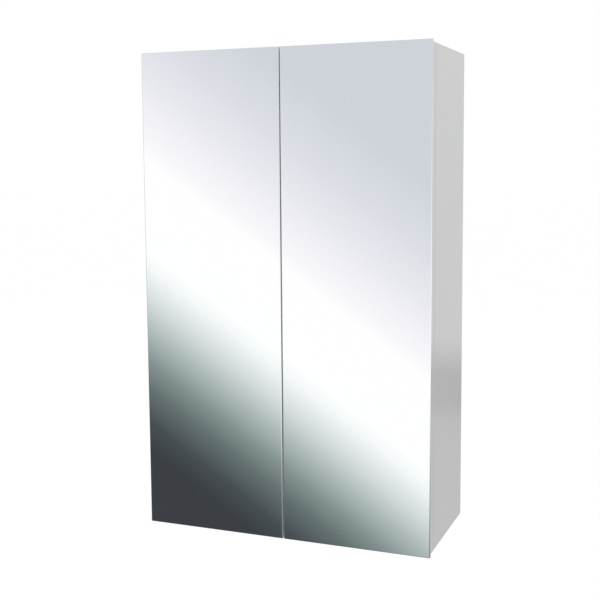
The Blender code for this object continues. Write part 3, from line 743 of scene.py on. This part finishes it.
class CABINET_OT_hinges(bpy.types.Operator):
    """Plate the hinges' pressed parts, and add their screws and rivet heads."""
    bl_idname = "cabinet.hinges"
    bl_label = "Finish the hinges"

    def execute(self, context):
        look = settings().hinges
        nickel = plated_metal("nickel_plating", look.nickel, 0.20)
        links = plated_metal("nickel_links", shade(look.nickel, 0.92), 0.26)
        zinc = plated_metal("zinc_plating", look.zinc, 0.18, grain=0.5)
        head = self.screw_mesh()
        for side, level in HINGES:
            tag = f"{side}_{level}"
            self.cup(side, tag, nickel, look)
            self.plate(side, tag, nickel, look)
            ease_arrises(dress(f"hinge_arm_{tag}", nickel), look.arris)
            for kind in ("outer_link", "inner_link"):
                ease_arrises(dress(f"hinge_{kind}_{tag}", links), look.arris)
            self.screws(side, tag, head, zinc)
            self.cup_screws(side, tag, head, zinc, look)
            self.rivets(side, tag, zinc)
        return {"FINISHED"}

    def cup(self, side, tag, finish, look):
        """A drawn cup with a rolled rim, a rounded flange and two lugs for the links' pins."""
        way, node = SIDES[side], f"hinge_cup_{tag}"
        low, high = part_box(node)
        middle = (low + high) / 2
        lip, height, half = rounded((high.x - low.x) / 2, high.y - low.y, (high.z - low.z) / 2)
        board_back, = rounded(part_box(f"door_board_{side}")[1].y - low.y)
        outer = lip - CUP_LIP
        inner = outer - CUP_WALL
        profile = [(0.0, CUP_WALL), (inner, CUP_WALL), (inner, height), (lip, height),
                   (lip, height - CUP_RIM), (outer, height - CUP_RIM), (outer, 0.0), (0.0, 0.0)]
        bowl = mesh_from(add_turned(bmesh.new(), eased(profile, CUP_FILLET, 4), 64,
                                    standing((0, 0, 0), TO_WALL)), "bowl")
        flange = slab((0.0, FLANGE_REACH, -half, half), FLANGE_CORNERS, FLANGE_THICKNESS,
                      axes((0, height - FLANGE_DROP, 0), (way, 0, 0), UP, -TO_WALL), look.arris)
        mouth = rod((0, board_back - CUP_WALL, 0), TO_WALL, inner + CUP_WALL / 2, 4 * CUP_WALL, 64)
        steps = [("UNION", shaped(flange, ("DIFFERENCE", mouth)))]
        floor = CUP_WALL / 2
        for start in (LUG_LAYER[0], -LUG_LAYER[1]):
            place = axes((0, floor, start), (way, 0, 0), TO_WALL, UP)
            steps.append(("UNION", slab((*LUG_SPAN, 0.0, board_back - LUG_DROP - floor), LUG_CORNERS,
                                        LUG_LAYER[1] - LUG_LAYER[0], place, look.arris)))
        reach = LUG_LAYER[1] * 1.1
        for (across, deep), radius in PIN_EYES:
            start = (way * across, board_back - deep, -reach)
            steps.append(("DIFFERENCE", rod(start, UP, radius, 2 * reach)))
        piece = piece_from(shaped(bowl, *steps), f"drawn_cup_{tag}", f"door_{side}", [finish],
                           Matrix.Translation((middle.x, low.y, middle.z)))
        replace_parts(piece, node)

    def plate(self, side, tag, finish, look):
        """The mounting plate: a ridge under the arm and a rounded wing each way for its screws."""
        way, node = SIDES[side], f"hinge_plate_{tag}"
        low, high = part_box(node)
        base = low.x if way > 0 else high.x
        screw_low, screw_high = (sum(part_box(f"plate_screw_{tag}_{end}"), Vector()) / 2
                                 for end in ("low", "high"))
        middle = Vector((base, screw_low.y, (low.z + high.z) / 2))
        front, back, half, height, spread = rounded(
            low.y - middle.y, high.y - middle.y, (high.z - low.z) / 2, high.x - low.x,
            (screw_high - screw_low).z / 2)
        place = axes((0, 0, 0), TO_WALL, UP, (way, 0, 0))
        ease = look.arris * 1.6
        ridge = slab((front, back, -RIDGE_HALF, RIDGE_HALF), (RIDGE_CORNER,) * 4, height, place, ease)
        raised = axes((WING_STEP * way, 0, 0), TO_WALL, UP, (way, 0, 0))
        wing = slab((-WING_HALF, WING_HALF, -half, half), (WING_HALF * 0.8,) * 4, WING_HEIGHT, raised,
                    ease, 8)
        steps = [("UNION", wing)]
        for up in (-spread, spread):
            steps.append(("DIFFERENCE", rod((-way * 0.001, 0, up), (way, 0, 0), SCREW_HOLE, 0.005)))
        piece = piece_from(shaped(ridge, *steps), f"mounting_plate_{tag}", CARCASS, [finish],
                           Matrix.Translation(middle))
        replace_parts(piece, node)

    def screw_mesh(self):
        """A pan head with a cross recess, one unit in radius, its seat at zero height."""
        head = [(0.0, -0.02), (0.97, -0.02), (1.0, 0.02), (1.0, 0.24), (0.93, 0.38), (0.72, 0.46), (0.0, 0.5)]
        blank = mesh_from(add_turned(bmesh.new(), eased(head, 0.06), 40), "screw_head")
        return shaped(blank, *(("DIFFERENCE", self.recess_blade(turn)) for turn in (0.0, math.pi / 2)))

    def recess_blade(self, turn):
        """One tapered blade of the cross recess."""
        bm = bmesh.new()
        spin = Matrix.Rotation(turn, 3, "Z")
        corners = []
        for reach, half, height in ((0.26, 0.055, 0.12), (0.62, 0.115, 0.62)):
            for x, y in ((-1, -1), (1, -1), (1, 1), (-1, 1)):
                corners.append(bm.verts.new(spin @ Vector((x * reach, y * half, height))))
        bm.faces.new(corners[:4])
        bm.faces.new(corners[4:])
        for step in range(4):
            after = (step + 1) % 4
            bm.faces.new([corners[step], corners[after], corners[4 + after], corners[4 + step]])
        return mesh_from(bm, "recess_blade")

    def screw(self, name, body, origin, direction, radius, spin, head, finish):
        place = standing(origin, direction, spin) @ Matrix.Scale(radius, 4)
        return piece_from(head, name, body, [finish], place)

    def screws(self, side, tag, head, finish):
        """Heads with shanks that replace the plate's and the arm's screws."""
        way = SIDES[side]
        names = [f"plate_screw_{tag}_low", f"plate_screw_{tag}_high", f"arm_screw_{tag}"]
        for number, node in enumerate(names):
            low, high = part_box(node)
            middle = (low + high) / 2
            radius = (high.z - low.z) / 2
            tip = high.x if way > 0 else low.x
            seat = Vector((tip - way * 0.5 * radius, middle.y, middle.z))
            piece = self.screw(f"cross_{node}", CARCASS, seat, (way, 0, 0), radius, 0.4 + number,
                               head, finish)
            self.shank(node, seat, way, high.x - low.x - 0.5 * radius, radius * 0.54, finish)
            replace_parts(piece, node)
        self.screw(f"side_adjuster_{tag}", CARCASS, seat - TO_WALL * ADJUSTER_STEP, (way, 0, 0),
                   radius * 0.82, 0.2, head, finish)

    def shank(self, node, seat, way, length, radius, finish):
        """A threaded shank: turned grooves from under the head to the tip."""
        turns = max(4, int(length / 0.0008))
        profile = [(0.0, 0.0), (radius, 0.0)]
        for step in range(turns):
            start = length * (0.12 + 0.84 * step / turns)
            profile += [(radius, start), (radius * 0.80, start + length * 0.42 / turns)]
        profile += [(radius * 0.8, length * 0.97), (0.0, length)]
        bm = add_turned(bmesh.new(), [Vector(point) for point in profile], 20)
        return piece_from(bm, f"thread_{node}", CARCASS, [finish],
                          standing(seat, (-way, 0, 0)))

    def cup_screws(self, side, tag, head, finish, look):
        """The two screws that hold a cup's flange to the door."""
        way = SIDES[side]
        low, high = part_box(f"hinge_cup_{tag}")
        middle = (low + high) / 2
        for number, up in enumerate((-0.5, 0.5)):
            seat = Vector((middle.x + way * look.screw_offset, high.y - 0.0002,
                           middle.z + up * look.screw_spacing))
            self.screw(f"cup_screw_{tag}_{number + 1}", f"door_{side}", seat, TO_WALL, CUP_SCREW_RADIUS,
                       0.9 + number, head, finish)

    def rivets(self, side, tag, finish):
        """Domed heads on both ends of the arm's two pins."""
        arm_low, arm_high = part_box(f"hinge_arm_{tag}")
        pivots = {j["child"]: j["pos_m"] for j in frame["joints"] if j["child"].endswith(f"links_{side}")}
        profile = eased([(0.0, -0.0001), (0.0017, -0.0001), (0.0017, 0.0002), (0.0011, 0.00045),
                         (0.0, 0.0005)], 0.0002)
        for kind in ("outer", "inner"):
            body = f"{kind}_links_{side}"
            x, y, _ = pivots[body]
            bm = bmesh.new()
            for z, way in ((arm_high.z, 1), (arm_low.z, -1)):
                add_turned(bm, profile, 28, standing((x, y, z), UP * way))
            piece_from(bm, f"rivet_{kind}_{tag}", body, [finish])


# ---------------------------------------------------------------- stage

FRONT_TONES = (
    (-0.270, (0.048, 0.053, 0.062)), (-0.245, (0.068, 0.082, 0.089)), (-0.215, (0.135, 0.172, 0.172)),
    (-0.190, (0.243, 0.299, 0.297)), (-0.160, (0.456, 0.523, 0.523)), (-0.128, (0.746, 0.788, 0.791)),
    (-0.100, (0.971, 0.996, 1.000)), (-0.085, (1.060, 1.055, 1.050)), (0.000, (1.060, 1.050, 1.045)),
    (0.022, (0.985, 0.970, 1.010)), (0.067, (0.885, 0.875, 0.929)), (0.120, (0.761, 0.781, 0.826)),
    (0.190, (0.659, 0.689, 0.736)))
BACK_TONES = (
    (-0.275, 0.565), (-0.245, 0.530), (-0.226, 0.380), (-0.200, 0.370), (-0.168, 0.740), (0.100, 0.805))
TONE_SPAN = (-0.35, 0.30)
ACROSS_SLANT, ALONG_SLANT, LEVEL_SLANT = 0.7, 0.4, 0.11
LOW_LIGHT, HIGH_LIGHT = (0.93, 0.94, 0.96), (1.0, 1.0, 1.0)
CAMERA_PLACE = (0.5814, -1.5894, -0.1063)
CAMERA_TURN = (21.604, 5.889, -0.416)
CAMERA_SHIFT = -0.05


def tone_stops(tones):
    low, high = TONE_SPAN
    return [((level - low) / (high - low), tone if isinstance(tone, tuple) else (tone,) * 3)
            for level, tone in tones]


class CABINET_OT_stage(bpy.types.Operator):
    """Set the pale floor, the soft studio light and the camera."""
    bl_idname = "cabinet.stage"
    bl_label = "Set the stage"

    def execute(self, context):
        look = settings().stage
        scene = context.scene
        scene.view_settings.view_transform = "Standard"
        self.floor(scene, look)
        self.surroundings(scene, look)
        low, high = CAD_BOX
        target = (low + high) / 2
        self.softbox(scene, "key_light", (-1.5, -2.6, 1.5), target, 1.8, 14.0)
        self.softbox(scene, "side_light", (2.4, -1.2, 0.9), target, 1.6, 5.0)
        self.camera(scene, look)
        return {"FINISHED"}

    def floor(self, scene, look):
        """A wide disc with a faint roller texture, well under the hung cabinet."""
        finish, bench = new_finish("studio_floor")
        place = bench.place()
        mottle = bench.cloud(place, 5.0, 4.0, 0.6)
        bench.coat(Base_Color=bench.mix(mottle.rise(0.3, 0.7), shade(look.floor, 0.99), opaque(look.floor)),
                   Roughness=0.9, Emission_Color=opaque(look.floor), Emission_Strength=0.42,
                   Normal=bench.bump(bench.cloud(place, 300.0, 3.0), 0.0001))
        bm = bmesh.new()
        rings = [(0.0, 0.0), (2.0, 0.0), (8.0, 0.0), (40.0, 0.0)]
        height = CAD_BOX[0].z - look.floor_drop
        add_turned(bm, [Vector(point) for point in rings], 96, Matrix.Translation((0, 0, height)))
        floor = bpy.data.objects.new("studio_floor", mesh_from(bm, "studio_floor"))
        floor.data.materials.append(finish)
        scene.collection.objects.link(floor)
        floor.visible_glossy = False
        floor.visible_diffuse = False
        floor.visible_transmission = False

    def surroundings(self, scene, look):
        """White behind everything; polished faces see a studio with a dark end and a bright band."""
        world = bpy.data.worlds.new("studio")
        scene.world = world
        world.use_nodes = True
        bench = Bench(world.node_tree)
        across, along, up = bench.parts(bench.node("ShaderNodeTexCoord", output="Generated"))
        low, high = TONE_SPAN

        def tones(level, stops):
            return bench.node("ShaderNodeValToRGB", {"stops": tone_stops(stops)},
                              {"Fac": (level - low) / (high - low)})

        slanting = across.fall(-0.15, 0.05)
        slant = (across * ACROSS_SLANT - along * ALONG_SLANT) * slanting + (1 - slanting) * LEVEL_SLANT
        front = tones(up + slant, FRONT_TONES)
        back = tones(up, BACK_TONES)
        mirrored = bench.mix((along - across * 0.3).rise(-0.5, 0.3), front, back)
        camera, glossy, through = bench.node("ShaderNodeLightPath", output=(
            "Is Camera Ray", "Is Glossy Ray", "Is Transmission Ray"))
        soft = bench.mix(up.rise(-0.8, 0.9), shade(LOW_LIGHT, look.ambient), shade(HIGH_LIGHT, look.ambient))
        colour = bench.mix(camera.at_least(through), bench.mix(glossy, soft, mirrored), (1.0, 1.0, 1.0, 1.0))
        light = bench.node("ShaderNodeBackground", sockets={"Color": colour})
        bench.node("ShaderNodeOutputWorld", sockets={"Surface": light})

    def softbox(self, scene, name, place, target, size, power):
        light = bpy.data.lights.new(name, "AREA")
        light.shape, light.size, light.energy = "DISK", size, power
        lamp = bpy.data.objects.new(name, light)
        lamp.location = place
        lamp.rotation_euler = (target - Vector(place)).to_track_quat("-Z", "Y").to_euler()
        lamp.visible_glossy = False
        scene.collection.objects.link(lamp)

    def camera(self, scene, look):
        data = bpy.data.cameras.new("camera")
        data.sensor_width, data.lens, data.shift_y = 36.0, look.lens, CAMERA_SHIFT
        camera = bpy.data.objects.new("camera", data)
        yaw, pitch, roll = (math.radians(angle) for angle in CAMERA_TURN)
        turn = (Matrix.Rotation(yaw, 4, "Z") @ Matrix.Rotation(math.pi / 2 - pitch, 4, "X")
                @ Matrix.Rotation(roll, 4, "Z"))
        camera.matrix_world = Matrix.Translation(CAMERA_PLACE) @ turn
        scene.collection.objects.link(camera)
        scene.camera = camera


class CABINET_PT_panel(bpy.types.Panel):
    """Lists the cabinet's pieces and their settings."""
    bl_idname = "CABINET_PT_panel"
    bl_label = "Mirror cabinet"
    bl_space_type = "VIEW_3D"
    bl_region_type = "UI"
    bl_category = "Cabinet"

    def draw(self, context):
        groups = {"boards": OPERATORS[:2], "mirrors": OPERATORS[2:3], "shelves": OPERATORS[3:4],
                  "hinges": OPERATORS[4:5], "stage": OPERATORS[5:]}
        for name, operators in groups.items():
            box = self.layout.box()
            group = getattr(context.scene.cabinet, name)
            for key in group.bl_rna.properties.keys():
                if key not in ("rna_type", "name"):
                    box.prop(group, key)
            for operator in operators:
                box.operator(operator.bl_idname)


OPERATORS = (CABINET_OT_carcass, CABINET_OT_doors, CABINET_OT_mirrors, CABINET_OT_shelves,
             CABINET_OT_hinges, CABINET_OT_stage)
CLASSES = (BoardSettings, MirrorSettings, ShelfSettings, HingeSettings, StageSettings, CabinetSettings,
           *OPERATORS, CABINET_PT_panel)


def register():
    for kind in CLASSES:
        bpy.utils.register_class(kind)
    bpy.types.Scene.cabinet = PointerProperty(type=CabinetSettings)


def unregister():
    del bpy.types.Scene.cabinet
    for kind in reversed(CLASSES):
        bpy.utils.unregister_class(kind)


def main():
    register()
    bpy.ops.cabinet.carcass()
    bpy.ops.cabinet.doors()
    bpy.ops.cabinet.mirrors()
    bpy.ops.cabinet.shelves()
    bpy.ops.cabinet.hinges()
    bpy.ops.cabinet.stage()


if __name__ == "__main__":
    main()
